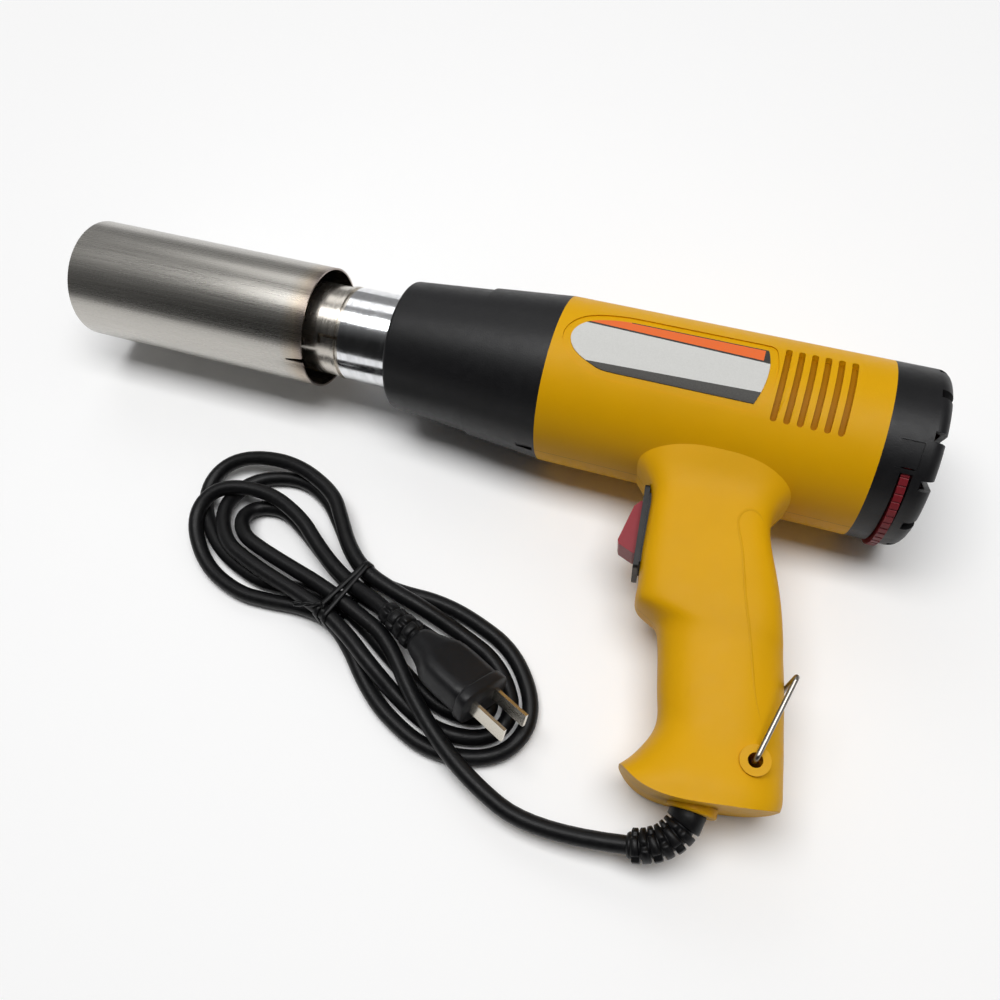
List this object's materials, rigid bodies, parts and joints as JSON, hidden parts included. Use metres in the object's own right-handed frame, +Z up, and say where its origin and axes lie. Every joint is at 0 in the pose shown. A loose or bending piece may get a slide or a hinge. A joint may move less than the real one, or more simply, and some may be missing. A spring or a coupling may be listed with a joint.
{
  "type": "heat gun",
  "caption": "Pistol-grip hot air gun lying on its side, with a wide shroud nozzle, rocker switch, dial and a tied mains cord.",
  "frame": {"origin": "centre of the footprint of the gun without its cord, on the surface it lies on", "axes": "+X along the barrel from the nozzle to the rear cap, +Y from the handle to the barrel, +Z up out of the left side"},
  "size_m": [0.408, 0.2304, 0.076],
  "materials": {
    "casing_plastic": "satin",
    "black_plastic": "matte",
    "steel": "satin",
    "label": "satin",
    "chrome_tube": "polished",
    "mica": "matte",
    "resistance_wire": "satin",
    "stainless": "brushed",
    "fan_plastic": "satin",
    "motor_can": "satin",
    "board": "satin",
    "dial_plastic": "satin",
    "rocker_plastic": "satin",
    "contact_brass": "satin",
    "wire_sheath": "satin",
    "cord_rubber": "satin",
    "tie_plastic": "satin",
    "blade_nickel": "satin"
  },
  "bodies": {
    "housing": {"left_shell": "casing_plastic", "right_shell": "casing_plastic", "shell_screws": "steel", "label_plate": "label", "front_collar": "black_plastic", "heat_guard": "black_plastic", "heater_tube": "chrome_tube", "mica_sleeve": "mica", "element_former": "mica", "heating_coil": "resistance_wire", "air_guide": "black_plastic", "fan_motor": "motor_can", "motor_mount": "black_plastic", "control_board": "board", "potentiometer": "black_plastic", "rear_cap": "black_plastic", "switch_body": "black_plastic", "switch_terminals": "contact_brass", "cord_clamp": "fan_plastic", "inner_wires": "wire_sheath", "cord_relief": "cord_rubber", "cord_free": "cord_rubber", "cord_hank": "cord_rubber", "cord_tie": "tie_plastic", "plug_body": "cord_rubber", "plug_blades": "blade_nickel"},
    "nozzle": {"nozzle_neck": "stainless", "nozzle_shroud": "stainless", "nozzle_struts": "stainless"},
    "fan_rotor": {"fan_impeller": "fan_plastic", "motor_shaft": "steel"},
    "dial": {"temperature_dial": "dial_plastic", "dial_spindle": "fan_plastic"},
    "rocker": {"switch_rocker": "rocker_plastic"},
    "bail": {"hanging_bail": "steel"}
  },
  "joints": [
    {"name": "nozzle_pull", "type": "slide", "parent": "housing", "child": "nozzle", "axis": [-1, 0, 0], "range_m": [0, 0.019]},
    {"name": "fan_spin", "type": "hinge", "parent": "housing", "child": "fan_rotor", "pos_m": [0.11595, 0.07581, 0.038], "axis": [1, 0, 0], "continuous": true},
    {"name": "dial_turn", "type": "hinge", "parent": "housing", "child": "dial", "pos_m": [0.19195, 0.06856, 0.03723], "axis": [1, 0, 0], "range_deg": [-135, 135]},
    {"name": "rocker_tilt", "type": "hinge", "parent": "housing", "child": "rocker", "pos_m": [0.10284, 0.01208, 0.03126], "axis": [0, -0.1052, 0.9945], "range_deg": [0, 20]},
    {"name": "bail_swing", "type": "hinge", "parent": "housing", "child": "bail", "pos_m": [0.16235, -0.06858, 0.02273], "axis": [0, -0.1052, 0.9945], "range_deg": [-165, 0]}
  ]
}
